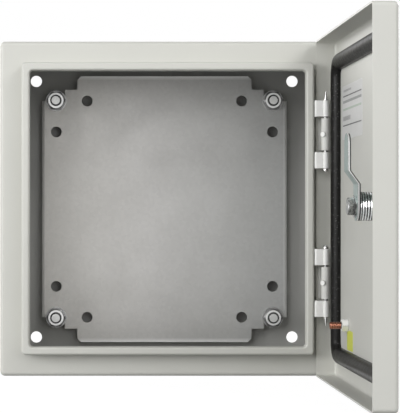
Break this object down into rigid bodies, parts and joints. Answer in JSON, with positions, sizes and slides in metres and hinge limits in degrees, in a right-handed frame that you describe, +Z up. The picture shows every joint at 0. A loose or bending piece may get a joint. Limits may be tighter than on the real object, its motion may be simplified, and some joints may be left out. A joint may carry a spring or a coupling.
{
  "type": "wall enclosure",
  "caption": "Square sheet-steel wall enclosure with an overlapping hinged door, door seal, cam lock, galvanised mounting plate and a gland plate in its base.",
  "frame": {"origin": "centre of the four wall-fixing holes, on the outside of the back panel", "axes": "+Y into the wall, out of the back panel; -Y towards the user; +X to the hinge side; +Z up"},
  "size_m": [0.3128, 0.4486, 0.3],
  "materials": {
    "powder_coat": "satin powder coat",
    "galvanised": "dull galvanised",
    "zinc_plated": "bright zinc",
    "hinge_zinc": "bright zinc",
    "knuckle_metal": "dull silver",
    "lock_metal": "satin nickel",
    "copper_plated": "copper plating",
    "seal_foam": "matte foam"
  },
  "bodies": {
    "cabinet": {"cabinet_shell": "powder_coat", "hinge_ears_upper": "hinge_zinc", "hinge_ears_lower": "hinge_zinc", "mounting_plate": "galvanised", "plate_studs": "zinc_plated", "plate_spacers": "zinc_plated", "plate_washers": "zinc_plated", "plate_nuts": "zinc_plated", "gland_plate": "powder_coat", "gland_seal": "seal_foam", "gland_studs": "zinc_plated", "gland_nuts": "zinc_plated"},
    "door": {"door_panel": "powder_coat", "door_seal": "seal_foam", "hinge_leaf_upper": "knuckle_metal", "hinge_leaf_lower": "knuckle_metal", "hinge_pin_upper": "zinc_plated", "hinge_pin_lower": "zinc_plated", "hinge_set_screws": "hinge_zinc", "earth_stud": "copper_plated", "earth_nut": "zinc_plated", "lock_barrel": "lock_metal", "lock_collar_seal": "seal_foam", "lock_nut": "lock_metal"},
    "lock": {"lock_core": "lock_metal", "lock_cam": "zinc_plated", "cam_washer": "zinc_plated", "cam_screw": "zinc_plated"}
  },
  "joints": [
    {"name": "door_hinge", "type": "hinge", "parent": "cabinet", "child": "door", "pos_m": [0.1405, -0.158, 0], "axis": [0, 0, 1], "range_deg": [-91.7, 13]},
    {"name": "lock_turn", "type": "hinge", "parent": "door", "child": "lock", "pos_m": [0.14719, -0.3834, 0.001], "axis": [0.9996, 0.0297, 0], "range_deg": [0, 90]}
  ]
}
